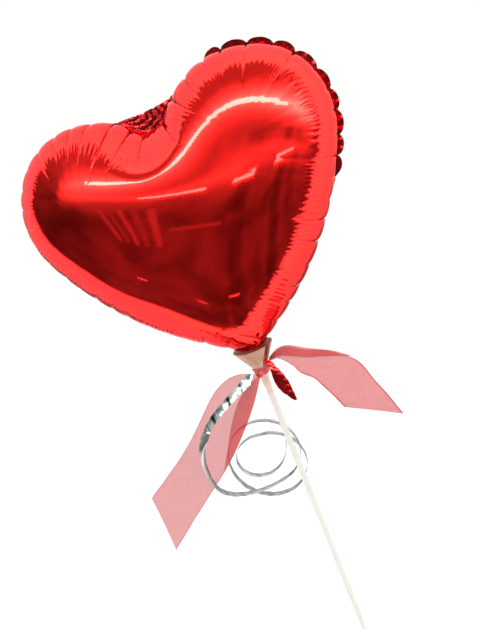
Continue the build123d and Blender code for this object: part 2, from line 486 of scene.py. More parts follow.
def pucker(phase, g, seed):
    """Outward displacement of the film at a phase and film distance g."""
    r = np.random.default_rng(seed)
    out = np.zeros_like(phase)
    for i, (deep, reach) in enumerate(zip(crease_depth, crease_length)):
        delta = (phase - i + TABS / 2) % TABS - TABS / 2
        close = np.abs(delta) < 0.75
        width = (1.3 * MM + 0.03 * g[close]) / TAB_PITCH
        fade = np.clip(1 - g[close] / reach, 0, 1) ** 0.8
        at_seam = 0.55 + 0.45 * np.clip(g[close] / (8 * MM), 0, 1)
        valley = np.exp(-np.abs(delta[close]) / width)
        out[close] -= deep * r.uniform(0.7, 1.1) * valley * fade * at_seam
    # round cushions between the creases, bulging over the seam
    cushion = np.abs(np.sin(math.pi * phase)) ** 0.7
    out += CUSHION * cushion * np.exp(-g / (15 * MM)) * np.clip(g / (3 * MM), 0, 1)
    out += 0.9 * MM * bell(g - 14 * MM, 13 * MM)
    out += 1.3 * MM * right_flank * bell(g - 5 * MM, 13 * MM)
    return out


def crease_strength(phase, g, seed):
    """Depth of the sharp fold line inside each crease, stored on the mesh; the foil also paints
    shade along it by this depth.
    """
    index = np.round(phase).astype(int) % TABS
    r = np.random.default_rng(seed)
    deep = crease_depth * r.uniform(0.6, 1.15, TABS)
    fade = np.clip(1.08 - g / crease_length[index], 0, 1) ** 0.6
    by_cleft = bell(cleft_distance, 45 * MM)
    return deep[index] / (1.9 * MM) * fade * (0.35 + 0.65 * calm_tip) * (1 + 0.9 * by_cleft)


GATHERS_PER_TAB = 4
GATHER_DEPTH = 0.18 * MM
SEAM_SEED = 11               # both films share it, so that they meet at the seam
RIDGE_MEAN = 0.64            # mean of |sin|, taken off so that a wave neither swells nor sinks
near_tip = lengths(points2 - tip)
calm_tip = smoothstep(near_tip / (34 * MM) - 0.15)


def gather_strength(phase, s, g, seed):
    """Strength (0 to 1) of the fine gathers: each one runs out at its own distance."""
    r = np.random.default_rng(seed)
    own = r.uniform(-2.6, 2.6, TABS * GATHERS_PER_TAB) * MM
    number = np.floor(phase * GATHERS_PER_TAB).astype(int) % (TABS * GATHERS_PER_TAB)
    end = 30.5 * MM + own[number] + 1.5 * MM * smooth_noise(s, 45 * MM, seed + 2)
    end += 15 * MM * bell(cleft_distance, 42 * MM)
    end += 6 * MM * smoothstep((seam[:, 1].mean() - points2[:, 1]) / (45 * MM) + 0.5)
    rise = 0.12 + 0.88 * np.clip((g - 12 * MM) / (10 * MM), 0, 1)
    patchy = np.clip(0.80 + 0.35 * smooth_noise(s, 30 * MM, seed + 3), 0.35, 1)
    return rise * patchy * np.clip((end - g) / (7 * MM), 0, 1) * (0.15 + 0.85 * calm_tip)


def gather_turn(phase):
    """How far the gather wave wanders across the film, and its whole angle."""
    x, z = points2[:, 0] / MM, points2[:, 1] / MM
    wander = 0.8 * np.sin(x / 7.3 + z / 11.0 + 0.4) + 0.7 * np.sin(z / 6.1 - x / 13.0 + 1.9)
    return wander, math.pi * GATHERS_PER_TAB * phase + wander


def dents(x, z, seed):
    """Slow unevenness of the tight film."""
    r = np.random.default_rng(seed)
    out = np.zeros_like(x)
    for _ in range(7):
        k = 2 * math.pi * r.uniform(2, 25)
        a = r.uniform(0, math.pi)
        out += np.sin(k * (x * math.cos(a) + z * math.sin(a)) + r.uniform(0, 6.3))
    return 0.16 * MM * out


def film_surface(side, phase, gathers, seed):
    """One inflated film: side -1 is the front, +1 the rear."""
    base = np.stack([points2[:, 0], side * height, points2[:, 1]], 1)
    tri = balloon_tri if side < 0 else balloon_tri[:, ::-1]
    normal = vertex_normals(base, tri)
    normal[:COUNT] = np.stack([-seam_in[:, 0], np.zeros(COUNT), -seam_in[:, 1]], 1)
    mix = np.clip(film_distance / (6 * MM), 0, 1)
    push = pucker(phase, film_distance, seed) * mix
    push += pucker(phase, film_distance, SEAM_SEED) * (1 - mix)
    body = np.clip((film_distance - 10 * MM) / (25 * MM), 0, 1)
    push += dents(points2[:, 0], points2[:, 1], seed + 9) * body
    push *= np.clip(0.30 + near_tip / (26 * MM), 0, 1)
    ridge = np.abs(np.sin(gather_turn(phase)[1])) - RIDGE_MEAN
    push += GATHER_DEPTH * ridge * gathers ** 1.8
    return base + normal * push[:, None], tri


RIM_LEAN, FLAT_LEAN = np.radians(76), np.radians(10)    # back from the seam plane, forward
RIM_SLACK = 1.5 * MM         # how far the web stands off, and how much it crumples
WEB_FROM, WEB_BLEND = 56 * MM, 22 * MM                  # distances from the cleft
WEB_CHORD = 38 * MM          # half the stretch of seam that the web cuts across
LARGEST_STEP = 0.35          # a triangle with a larger step of phase is torn


def rim_surface(edge):
    """The sealed rim: rounded tabs between the creases, folded back except on the right lobe,
    and a web of film that spans the cleft from lobe to lobe."""
    cols = 10
    from_cleft = lengths(seam - cleft)
    lobe = np.abs(np.sin(math.pi * seam_phase)) ** 0.5
    tab = np.floor(seam_phase).astype(int)
    tilt = rng.uniform(-1, 1, tab.max() + 3)[tab + 1]
    middle = (seam.max(0) + seam.min(0)) / 2
    flat_part = smoothstep((seam[:, 0] - middle[0] + 14 * MM) / (12 * MM) + 0.5)
    flat_part *= smoothstep((seam[:, 1] - middle[1]) / (14 * MM) + 0.5)
    by_cleft = bell(from_cleft, 24 * MM)
    web = smoothstep((WEB_FROM - from_cleft) / WEB_BLEND)
    lean = RIM_LEAN * (1 - flat_part) - FLAT_LEAN * flat_part
    lean += np.radians(9 + 12 * by_cleft) * tilt * lobe
    width = RIM * (0.30 + 0.62 * lobe) * (0.60 + 0.40 * flat_part)
    width *= 1 - 0.7 * bell(tip_distance, 14 * MM)
    reach = int(WEB_CHORD / STEP)
    chord = sum(np.roll(seam, k, axis=0) for k in range(-reach, reach + 1)) / (2 * reach + 1)
    span = (chord - seam - RIM_SLACK * seam_in) * web[:, None]
    rows = []
    for k in range(cols):
        f = k / (cols - 1)
        own = (width * (1 - web) * f * np.cos(lean))[:, None]
        flat = edge[:, [0, 2]] - seam_in * own + span * f
        lift = width * f * np.sin(lean) * (1 - web) + RIM_SLACK * f * web
        crumple = smooth_noise(seam_s * (1 - 0.3 * f) + 14 * MM * f, 30 * MM, 31)
        lift += web * RIM_SLACK * math.sin(2.2 * f) * crumple
        ripple = 0.25 * MM * f * np.sin(2 * math.pi * seam_phase * 2.5 + tilt * 3)
        rows.append(np.stack([flat[:, 0], edge[:, 1] + lift + ripple, flat[:, 1]], 1))
    return np.vstack(rows), grid_faces(cols, COUNT, closed=True)


def film_object(name, side, seed):
    """A film; its crease and gather strengths are stored on the mesh for the foil's relief and for
    the painted shade in its folds.

    Where the nearest stretch of seam changes from one side of the heart to the other the phase
    jumps inside a triangle, so the relief is left off there.
    """
    phase = film_phase(seed)
    corner = phase[balloon_tri]
    broken = np.ptp(corner, axis=1) > TABS / 2
    corner[broken[:, None] & (corner < TABS / 2)] += TABS
    jump = np.ptp(corner, axis=1) > LARGEST_STEP
    torn = np.zeros(len(phase), bool)
    torn[balloon_tri[jump].ravel()] = True
    gathers = gather_strength(phase, along, film_distance, seed)
    gathers[torn] = 0
    co, tri = film_surface(side, phase, gathers, seed)
    if side > 0:
        corner = corner[:, ::-1]
    uv = np.stack([corner, film_distance[tri] / (10 * MM)], 2).reshape(-1, 2)
    obj = make_object(name, co, tri.tolist(), BALLOON, corner_uv=uv)
    creases = crease_strength(phase, film_distance, seed)
    creases[torn] = 0
    for key, value in (("gather", gathers), ("crease", creases),
                       ("wander", gather_turn(phase)[0])):
        layer = obj.data.attributes.new(key, "FLOAT", "POINT")
        layer.data.foreach_set("value", value.astype(np.float32))
    return obj, co


FRONT_SEED, REAR_SEED = 21, 51
foil_front, front_co = film_object("foil_front", -1, FRONT_SEED)
foil_rear = film_object("foil_rear", 1, REAR_SEED)[0]
rim_co, rim_faces = rim_surface(front_co[:COUNT])
foil_rim = make_object("sealed_rim", rim_co, rim_faces, BALLOON)
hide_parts("front_panel")
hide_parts("rear_panel")


# ================================================================ ribbons: rails from the CAD
def rails(node, count, start):
    """The two long edges of a ribbon node, from the end nearest start, as paired points."""
    co, patches = cad_faces(node)
    patches.sort(key=lambda tri: area(co, tri))
    caps, sides = patches[:2], patches[2:4]
    cap_points = [co[np.unique(tri)] for tri in caps]
    start = np.array(start)
    cap_points.sort(key=lambda p: np.linalg.norm(p.mean(0) - start))
    edges = []
    for tri in sides:
        loop = max(loops(tri), key=len)
        p = co[loop]

        def corners(points):
            gap = np.linalg.norm(p[:, None] - points[None], axis=2).min(1)
            return [int(i) for i in np.where(gap < 2e-6)[0]]

        near_end, far_end = corners(cap_points[0]), corners(cap_points[1])
        n = len(p)
        paths = []
        for direction in (1, -1):
            for a in near_end:
                if (a + direction) % n in near_end:
                    continue
                path = [a]
                while path[-1] not in far_end:
                    path.append((path[-1] + direction) % n)
                paths.append(resample(p[path], count))
        edges.append(sum(paths) / len(paths))
    return edges


def strip(left, right, cols):
    """Grid of points between two rails, with unit normals and (length, across) coordinates."""
    v = np.linspace(0, 1, cols)
    grid = left[:, None] * (1 - v)[None, :, None] + right[:, None] * v[None, :, None]
    middle = (left + right) / 2
    tangent = np.gradient(middle, axis=0)
    normal = np.cross(tangent, right - left)
    normal /= lengths(normal)[:, None] + 1e-12
    length = run_length(middle)
    return grid, normal, length, v


def ribbon_uv(length, v, width):
    """UV of a strip: its length in ribbon widths, and the place across it."""
    return np.stack([np.repeat(length / width, len(v)), np.tile(v, len(length))], 1)


knot_low, knot_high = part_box("organza_tie")
knot = (knot_low + knot_high) / 2
knot.y = knot_low.y


def relaid(left, right, start, cut, reach_left, reach_right):
    """Rails that begin at the knot, follow the CAD part of the way and then run out straight."""
    last = int(cut * (len(left) - 1))
    before = int((cut - 0.14) * (len(left) - 1))
    paths = []
    for rail, first, reach in ((left, start[0], reach_left), (right, start[1], reach_right)):
        keep = rail[int(0.05 * len(rail)):last:5]
        end = rail[last] + (rail[last] - rail[before]) * reach
        path = np.vstack([[first], keep, [rail[last] * 0.5 + end * 0.5], [end]])
        smooth = resample(path, len(rail))
        for _ in range(60):
            smooth[1:-1] = (smooth[:-2] + 2 * smooth[1:-1] + smooth[2:]) / 4
        paths.append(smooth)
    return paths


ORGANZA_WIDTH, CURL_WIDTH = 27 * MM, 5 * MM
CLOTH_SCALE = 10.0           # the solver works better on larger pieces
CLOTH_FRAMES = 14
CLOTH_CAP = 1.1 * MM         # furthest a point may move while settling


def settle(grid, faces):
    """Let a ribbon's cloth ease and buckle slightly; its end at the knot is held."""
    rows, cols = grid.shape[:2]
    start = grid.reshape(-1, 3)
    mesh = bpy.data.meshes.new("settling")
    mesh.from_pydata((start * CLOTH_SCALE).tolist(), [], faces)
    obj = add_object("settling", mesh)
    group = obj.vertex_groups.new(name="held")
    for row in range(rows):
        weight = 1.0 if row < 8 else 0.30
        group.add(list(range(row * cols, (row + 1) * cols)), weight, "REPLACE")
    cloth = obj.modifiers.new("cloth", "CLOTH")
    values = cloth.settings
    values.quality = 5
    values.mass = 0.05
    values.tension_stiffness = values.compression_stiffness = 12.0
    values.shear_stiffness = 6.0
    values.bending_stiffness = 0.08
    values.air_damping = 2.0
    values.vertex_group_mass = "held"
    values.pin_stiffness = 0.6
    values.shrink_min = -0.02
    values.effector_weights.gravity = 0.05
    cloth.point_cache.frame_start = 1
    cloth.point_cache.frame_end = CLOTH_FRAMES
    for number in range(1, CLOTH_FRAMES + 1):
        bpy.context.scene.frame_set(number)
    shaped = obj.evaluated_get(bpy.context.evaluated_depsgraph_get()).to_mesh()
    moved = coords(shaped) / CLOTH_SCALE - start
    bpy.data.objects.remove(obj, do_unlink=True)
    bpy.context.scene.frame_set(1)
    far = lengths(moved)[:, None]
    moved *= np.minimum(1, CLOTH_CAP / np.maximum(far, 1e-9))
    return (start + moved).reshape(grid.shape)


def organza(name, node, body, wave, seed, start, cut, reach, narrow=1.0):
    """A sheer ribbon: gathered where it leaves the knot, softly waved further out.

    narrow is the share of its width that it has at the knot; further on it opens out.
    """
    left, right = rails(node, 170, knot)
    if left[len(left) // 2, 2] < right[len(right) // 2, 2]:
        left, right = right, left
    left, right = relaid(left, right, start, cut, *reach)
    middle = (left + right) / 2
    run = run_length(middle)
    open_out = (narrow + (1 - narrow) * smoothstep((run - 15 * MM) / (19 * MM)))[:, None]
    left, right = middle + (left - middle) * open_out, middle + (right - middle) * open_out
    cols = 34
    grid, normal, length, v = strip(left, right, cols)
    gather = np.exp(-length / (16 * MM))[:, None]
    folds = np.cos(2 * math.pi * 4.5 * v)[None, :] * 0.7 * MM * gather
    curl = wave * MM * np.sin(math.pi * v)[None, :] * np.sin(length / (27 * MM) + seed)[:, None]
    hem = (np.abs(2 * v - 1) ** 6)[None, :] * 0.5 * MM * np.sin(length / (3.1 * MM) + seed)[:, None]
    free = np.clip(length / (20 * MM), 0, 1)[:, None]
    grid = grid + normal[:, None, :] * (folds + (curl + hem) * free)[:, :, None]
    faces = grid_faces(len(length), cols)
    grid = settle(grid, faces)
    obj = make_object(name, grid.reshape(-1, 3), faces, body,
                      ribbon_uv(length, v, ORGANZA_WIDTH))
    return obj, (left, right, normal, length)


def about(centre, *offsets):
    """Points at offsets (in mm) from a centre."""
    return [np.array(centre) + np.array(offset) * MM for offset in offsets]


cup_side = Vector((6.3, 2.9, 0)) * MM + Vector((0, 0, knot.z + 3.7 * MM))
left_start = about(knot, (-1.2, -0.6, 1.6), (-0.4, -0.6, -1.0))
right_start = about(cup_side, (0.8, 0.9, 1.7), (-0.8, -0.4, -1.7))
left_tail, left_rails = organza("organza_left", "organza_left_tail", "left_tail", 0.7, 0.4,
                                left_start, 0.85, (0.65, 0.65))
right_tail, right_rails = organza("organza_right", "organza_right_tail", "right_tail", 0.7, 2.1,
                                  right_start, 0.71, (1.6, 0.45), narrow=0.58)
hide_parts("organza_left_tail")
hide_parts("organza_right_tail")


def folded_layer(name, rail_set, body, part_of_length, share, from_top, power):
    """Part of a tail near the knot is folded over along its length, giving a second layer."""
    high, low, normal, length = rail_set
    if from_top:
        high, low = low, high
    rows = int(len(length) * part_of_length)
    cols = 14
    part = np.linspace(0, 1, rows)
    v = np.linspace(0, 1, cols)
    cover = share * (1 - part ** power)
    grid = low[:rows, None] + (high - low)[:rows, None] * (v[None, :] * cover[:, None])[:, :, None]
    toward_camera = -np.sign(normal[:rows, 1])[:, None]
    lift = 0.9 * MM + 0.8 * MM * np.sin(math.pi * v)[None, :] * np.clip(part * 6, 0, 1)[:, None]
    grid = grid + normal[:rows, None] * (toward_camera * lift)[:, :, None]
    uv = ribbon_uv(length[:rows], 0.35 + 0.65 * v, ORGANZA_WIDTH)
    return make_object(name, grid.reshape(-1, 3), grid_faces(rows, cols), body, uv)


left_fold = folded_layer("organza_left_fold", left_rails, "left_tail", 0.52, 0.50, False, 2.2)
right_fold = folded_layer("organza_right_fold", right_rails, "right_tail", 0.56, 0.95, True, 1.6)


def curl_ribbon():
    """The silver curling ribbon: slightly cupped, with small kinks along its length."""
    left, right = rails("curling_ribbon", 900, knot)
    # the lead turns its face forward
    centre = (left + right) / 2
    run = run_length(centre)
    tangent = unit(np.gradient(centre, axis=0))
    forward = unit(np.cross(tangent, [0.2, -0.95, 0.2]))
    across = unit(right - left)
    forward *= np.sign((forward * across).sum(1))[:, None]
    turn = (smoothstep(run / (8 * MM)) * smoothstep((62 * MM - run) / (18 * MM)))[:, None]
    across = unit(across * (1 - turn) + forward * turn)
    half = lengths(right - left)[:, None] / 2
    left, right = centre - across * half, centre + across * half
    cols = 7
    grid, normal, length, v = strip(left, right, cols)
    cup_shape = (4 * v * (1 - v))[None, :] * 0.25 * MM
    kinks = 0.10 * MM * smooth_noise(length, 22 * MM, 5)[:, None]
    twist = 0.16 * MM * smooth_noise(length, 15 * MM, 8)[:, None] * (2 * v - 1)[None, :]
    grid = grid + normal[:, None, :] * (cup_shape + kinks + twist)[:, :, None]
    uv = ribbon_uv(length, v, CURL_WIDTH)
    return make_object("silver_curl", grid.reshape(-1, 3), grid_faces(len(length), cols),
                       "curl", uv)


silver_curl = curl_ribbon()
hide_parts("curling_ribbon")


# ================================================================ neck tail and tie
def crumpled(name, node, body, size, depth, seed):
    """A copy of a CAD node's surface, refined and crumpled by ridged folds."""
    obj = add_object(name, frame["nodes"][node].data.copy())
    weld = obj.modifiers.new("weld", "WELD")
    weld.merge_threshold = 2e-6
    remesh = obj.modifiers.new("remesh", "REMESH")
    remesh.mode = "VOXEL"
    remesh.voxel_size = size
    dg = bpy.context.evaluated_depsgraph_get()
    final = bpy.data.meshes.new_from_object(obj.evaluated_get(dg))
    bpy.data.objects.remove(obj)
    co, tri = coords(final), triangles(final)
    normal = vertex_normals(co, tri)
    push = np.zeros(len(co))
    r = np.random.default_rng(seed)
    for k in range(5):
        axis = r.normal(size=3)
        axis /= np.linalg.norm(axis)
        wave = (2.6 + 1.3 * k) * MM
        ridge = np.abs(np.sin(co @ axis / wave * math.pi + r.uniform(0, 6))) - RIDGE_MEAN
        push += ridge / (1 + 0.6 * k)
    co = co + normal * (push * depth)[:, None]
    piece = make_object(name, co, tri.tolist(), body)
    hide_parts(node)
    return piece


neck = crumpled("foil_neck", "foil_neck_tail", CUP, 0.25 * MM, 0.34 * MM, 3)
tie = crumpled("organza_knot", "organza_tie", CUP, 0.22 * MM, 0.20 * MM, 4)


# ================================================================ materials
def material(name):
    """A new node material, its tree and its Principled shader."""
    m = bpy.data.materials.new(name)
    m.use_nodes = True
    return m, m.node_tree, m.node_tree.nodes["Principled BSDF"]


def node(tree, kind, **values):
    """A new node; each value sets the input of that name, or else the node's own property."""
    n = tree.nodes.new(kind)
    for key, value in values.items():
        if key in n.inputs:
            n.inputs[key].default_value = value
        else:
            setattr(n, key, value)
    return n


def maths(tree, operation, a, b=None, c=None):
    """A maths node; inputs may be sockets or numbers."""
    n = tree.nodes.new("ShaderNodeMath")
    n.operation = operation
    for k, value in enumerate((a, b, c)):
        if value is None:
            continue
        if isinstance(value, (int, float)):
            n.inputs[k].default_value = value
        else:
            tree.links.new(value, n.inputs[k])
    return n.outputs[0]


def map_range(tree, value, low, high, to_low=0.0, to_high=1.0, **values):
    """A value mapped from one range to another and held inside it."""
    n = node(tree, "ShaderNodeMapRange", **values)
    for key, number in (("From Min", low), ("From Max", high),
                        ("To Min", to_low), ("To Max", to_high)):
        n.inputs[key].default_value = number
    tree.links.new(value, n.inputs["Value"])
    return n.outputs["Result"]


def noise(tree, vector, scale, detail, **values):
    """The value of a noise texture."""
    n = node(tree, "ShaderNodeTexNoise", Scale=scale, Detail=detail, **values)
    tree.links.new(vector, n.inputs["Vector"])
    return n.outputs["Fac"]


def ramp(tree, value, stops, interpolation="LINEAR"):
    """Colour of a ramp; stops are (position, colour), and a single number is a grey."""
    n = tree.nodes.new("ShaderNodeValToRGB")
    n.color_ramp.interpolation = interpolation
    e = n.color_ramp.elements
    while len(e) < len(stops):
        e.new(0.5)
    for item, (position, colour) in zip(e, stops):
        item.position = position
        item.color = (*colour, 1) if isinstance(colour, tuple) else (colour, colour, colour, 1)
    tree.links.new(value, n.inputs["Fac"])
    return n.outputs["Color"]


def mix_colours(tree, factor, a, b):
    """The colour socket a mixed with b, a socket or a plain colour."""
    n = node(tree, "ShaderNodeMix", data_type="RGBA")
    tree.links.new(factor, n.inputs["Factor"])
    tree.links.new(a, n.inputs[6])
    if isinstance(b, tuple):
        n.inputs[7].default_value = (*b, 1)
    else:
        tree.links.new(b, n.inputs[7])
    return n.outputs[2]


def bumped(tree, height, strength, distance, normal=None):
    """The normal of a surface with a relief on it."""
    n = node(tree, "ShaderNodeBump", Strength=strength, Distance=distance)
    tree.links.new(height, n.inputs["Height"])
    if normal is not None:
        tree.links.new(normal, n.inputs["Normal"])
    return n.outputs["Normal"]


def finish_shader(tree, shader, **values):
    """Set a shader's inputs to numbers or sockets; _ stands for a space in their names."""
    for key, value in values.items():
        target = shader.inputs[key.replace("_", " ")]
        if isinstance(value, (int, float, tuple)):
            target.default_value = value
        else:
            tree.links.new(value, target)


def object_place(tree):
    """A point's place in its object."""
    return node(tree, "ShaderNodeTexCoord").outputs["Object"]


def uv_place(tree):
    """The UV vector and its two parts."""
    uv = node(tree, "ShaderNodeUVMap").outputs["UV"]
    parts = node(tree, "ShaderNodeSeparateXYZ")
    tree.links.new(uv, parts.inputs["Vector"])
    return uv, parts.outputs["X"], parts.outputs["Y"]


def attribute(tree, name):
    """A value that is stored on the mesh."""
    return node(tree, "ShaderNodeAttribute", attribute_name=name).outputs["Fac"]


def dress(obj, mat):
    """Give an object one material."""
    obj.data.materials.clear()
    obj.data.materials.append(mat)


THREADS = 60.0               # threads per ribbon width
HEM = (0.465, 0.485)         # distances from the ribbon's middle, in widths, where it begins
LEAD_END = (8.5, 11.0)       # ribbon widths along the curl where its lead turns into the coil
GATHER_RELIEF = 0.19         # mm
FOLD_SHARPNESS = 26.0
# strength and limit of the painted shade in the fold lines
FOLD_SHADE, DARKEST_SHADE = 1.9, 0.92


def foil_material(name, gathered, dark, light, rough_low, rough_high):
    """Metallised film under a clear coat; the gathered one adds relief that follows its UV, and
    painted shade along its fold lines.
    """
    m, t, s = material(name)
    place = object_place(t)
    colour = ramp(t, noise(t, place, 28.0, 3.0, Roughness=0.5), [(0.35, dark), (0.65, light)])
    rough = ramp(t, noise(t, place, 900.0, 2.0), [(0.3, rough_low), (0.7, rough_high)])
    normal = bumped(t, noise(t, place, 160.0, 4.0, Roughness=0.55), 0.04, 0.0004)
    if gathered:
        phase = uv_place(t)[1]
        # crests of the fine gathers, on top of the waves in the mesh
        turns = maths(t, "MULTIPLY_ADD", phase, math.pi * GATHERS_PER_TAB, attribute(t, "wander"))
        ridge = maths(t, "ABSOLUTE", maths(t, "SINE", turns))
        waves = maths(t, "MULTIPLY", maths(t, "MULTIPLY", ridge, attribute(t, "gather")),
                      GATHER_RELIEF)
        # sharp fold line at every whole phase; its bottom is darkened in the colour as painted
        # shade
        near_fold = maths(t, "PINGPONG", phase, 0.5)
        groove = maths(t, "EXPONENT", maths(t, "MULTIPLY", near_fold, -FOLD_SHARPNESS))
        folds = maths(t, "MULTIPLY", groove, attribute(t, "crease"))
        shade = maths(t, "MINIMUM", maths(t, "MULTIPLY", folds, FOLD_SHADE), DARKEST_SHADE)
        colour = mix_colours(t, shade, colour, (0.22, 0.002, 0.003))
        normal = bumped(t, maths(t, "SUBTRACT", waves, folds), 1.0, 0.001, normal)
    finish_shader(t, s, Base_Color=colour, Metallic=1.0, Specular_Tint=(1.0, 0.40, 0.38, 1),
                  Roughness=rough, Coat_Weight=0.27, Coat_Roughness=0.04, Coat_IOR=1.45,
                  Normal=normal, Coat_Normal=normal)
    return m


def organza_material(name, least_cover, hem_cover, hem_mix):
    """Sheer weave with a denser, redder hem along both edges."""
    m, t, s = material(name)
    along_ribbon, across = uv_place(t)[1:]
    place = object_place(t)
    threads = [maths(t, "SINE", maths(t, "MULTIPLY", axis, THREADS * 2 * math.pi))
               for axis in (along_ribbon, across)]
    weave = maths(t, "MAXIMUM", *threads)
    from_middle = maths(t, "ABSOLUTE", maths(t, "SUBTRACT", across, 0.5))
    hem = map_range(t, from_middle, *HEM)
    cover = map_range(t, weave, -0.2, 1.0, least_cover, least_cover + 0.30)
    cover = maths(t, "ADD", cover, maths(t, "MULTIPLY", hem, hem_cover))
    uneven = maths(t, "MULTIPLY_ADD", noise(t, place, 700.0, 2.0), 0.08, -0.04)
    tone = ramp(t, noise(t, place, 60.0, 3.0),
                [(0.3, (0.62, 0.030, 0.032)), (0.7, (0.68, 0.042, 0.042))])
    colour = mix_colours(t, maths(t, "MULTIPLY", hem, hem_mix), tone, (0.50, 0.008, 0.016))
    finish_shader(t, s, Base_Color=colour, Alpha=maths(t, "ADD", cover, uneven), Roughness=0.55,
                  Specular_IOR_Level=0.15, Sheen_Weight=0.12, Sheen_Roughness=0.4,
                  Normal=bumped(t, weave, 0.25, 0.0002))
    return m


def knot_material():
    """Bunched organza."""
    m, t, s = material("organza_knot")
    cloud = noise(t, object_place(t), 400.0, 4.0)
    tone = ramp(t, cloud, [(0.3, (0.50, 0.02, 0.035)), (0.7, (0.80, 0.10, 0.11))])
    finish_shader(t, s, Base_Color=tone, Roughness=0.6, Sheen_Weight=0.3, Alpha=0.9,
                  Normal=bumped(t, cloud, 0.6, 0.0003))
    return m


def silver_material():
    """Metallised curling ribbon: slanted flashes of painted reflection on the lead, and painted
    shade that makes the coil a dull grey.
    """
    m, t, s = material("silver_ribbon")
    uv, along_ribbon, across = uv_place(t)
    patch = node(t, "ShaderNodeTexNoise", noise_dimensions="1D", Scale=0.75, Detail=1.0)
    t.links.new(maths(t, "MULTIPLY_ADD", across, 0.45, along_ribbon), patch.inputs["W"])
    # painted reflections: bright and dark bands in the base colour stand in for flashes of light on
    # the lead
    painted_flashes = ramp(t, patch.outputs["Fac"], [
        (0.0, (0.05, 0.06, 0.07)), (0.36, (0.50, 0.60, 0.56)), (0.43, (0.85, 0.95, 0.90)),
        (0.53, (0.03, 0.04, 0.24)), (0.55, (0.60, 0.68, 0.63)), (0.62, (0.92, 0.92, 0.90)),
    ], "CONSTANT")
    # painted shade: the coil's base colour is a darker grey than the lead's
    painted_dull_grey = ramp(t, patch.outputs["Fac"], [
        (0.35, (0.19, 0.20, 0.20)), (0.5, (0.29, 0.30, 0.30)), (0.65, (0.23, 0.24, 0.24))])
    on_lead = map_range(t, along_ribbon, *LEAD_END, 1.0, 0.0)
    lines = noise(t, uv, 12.0, 2.0)
    rough = maths(t, "MULTIPLY_ADD", lines, 0.06, maths(t, "MULTIPLY_ADD", on_lead, -0.20, 0.32))
    finish_shader(t, s, Base_Color=mix_colours(t, on_lead, painted_dull_grey, painted_flashes), Metallic=1.0,
                  Roughness=rough, Normal=bumped(t, lines, 0.03, 0.0002))
    return m


def plastic_material(name, dark, light, rough_low, rough_high, subsurface, cone=None):
    """Moulded or extruded plastic with faint streaks up its length.

    cone is ((low, high), colour): between the two heights the colour takes over, as painted shade.
    """
    m, t, s = material(name)
    place = object_place(t)
    colour = ramp(t, noise(t, place, 45.0, 3.0), [(0.3, dark), (0.7, light)])
    if cone:
        # painted shade: the colour that takes over between the two heights
        (low, high), painted_shade_tint = cone
        parts = node(t, "ShaderNodeSeparateXYZ")
        t.links.new(place, parts.inputs["Vector"])
        share = map_range(t, parts.outputs["Z"], low, high, interpolation_type="SMOOTHSTEP")
        colour = mix_colours(t, share, colour, painted_shade_tint)
    stretch = node(t, "ShaderNodeMapping", Scale=(500.0, 500.0, 8.0))
    t.links.new(place, stretch.inputs["Vector"])
    streak = noise(t, stretch.outputs["Vector"], 1.0, 2.0)
    finish_shader(t, s, Base_Color=colour, Specular_IOR_Level=0.25,
                  Roughness=ramp(t, streak, [(0.3, rough_low), (0.7, rough_high)]),
                  Subsurface_Weight=subsurface, Subsurface_Radius=(1.0, 0.9, 0.8),
                  Subsurface_Scale=0.002, Normal=bumped(t, streak, 0.02, 0.0001))
    return m


cup_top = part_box("cup")[1].z

gathered_foil = foil_material("red_foil_gathered", True,
                              (0.70, 0.0040, 0.002), (0.78, 0.0075, 0.004), 0.05, 0.10)
for piece, mat in (
    (foil_front, gathered_foil),
    (foil_rear, gathered_foil),
    # the sealed rim's dark red base colour is painted shade, far darker than the open film's
    (foil_rim, foil_material("red_foil_rim_painted_shade", False,
                             (0.20, 0.002, 0.003), (0.42, 0.008, 0.008), 0.12, 0.25)),
    (neck, foil_material("red_foil_neck", False,
                         (0.40, 0.004, 0.005), (0.74, 0.012, 0.010), 0.08, 0.18)),
    (tie, knot_material()),
    (silver_curl, silver_material()),
    (frame["nodes"]["stick"],
     plastic_material("stick_plastic", (0.81, 0.80, 0.73), (0.88, 0.87, 0.80), 0.35, 0.55, 0.2)),
    # the cup's top is painted brown from 16 mm below its rim, fully from 8 mm below it, as shade
    # where the balloon's tip sits in it
    (frame["nodes"]["cup"],
     plastic_material("cup_plastic", (0.82, 0.69, 0.55), (0.90, 0.78, 0.64), 0.20, 0.34, 0.4,
                      cone=((cup_top - 16 * MM, cup_top - 8 * MM), (0.50, 0.26, 0.18)))),
    (frame["nodes"]["filling_valve"],
     plastic_material("valve_film", (0.70, 0.70, 0.70), (0.85, 0.85, 0.85), 0.15, 0.30, 0.1)),
):
    dress(piece, mat)
# one ribbon in two copies as painted light and shade: the left tail is thinner and paler for the
# more light it gets, the right tail denser with a redder hem for shade on its folded edge
lit_organza = organza_material("organza_painted_lit", 0.50, 0.08, 0.25)
shaded_organza = organza_material("organza_painted_shaded", 0.57, 0.34, 0.95)
for piece, mat in ((left_tail, lit_organza), (left_fold, lit_organza),
                   (right_tail, shaded_organza), (right_fold, shaded_organza)):
    dress(piece, mat)

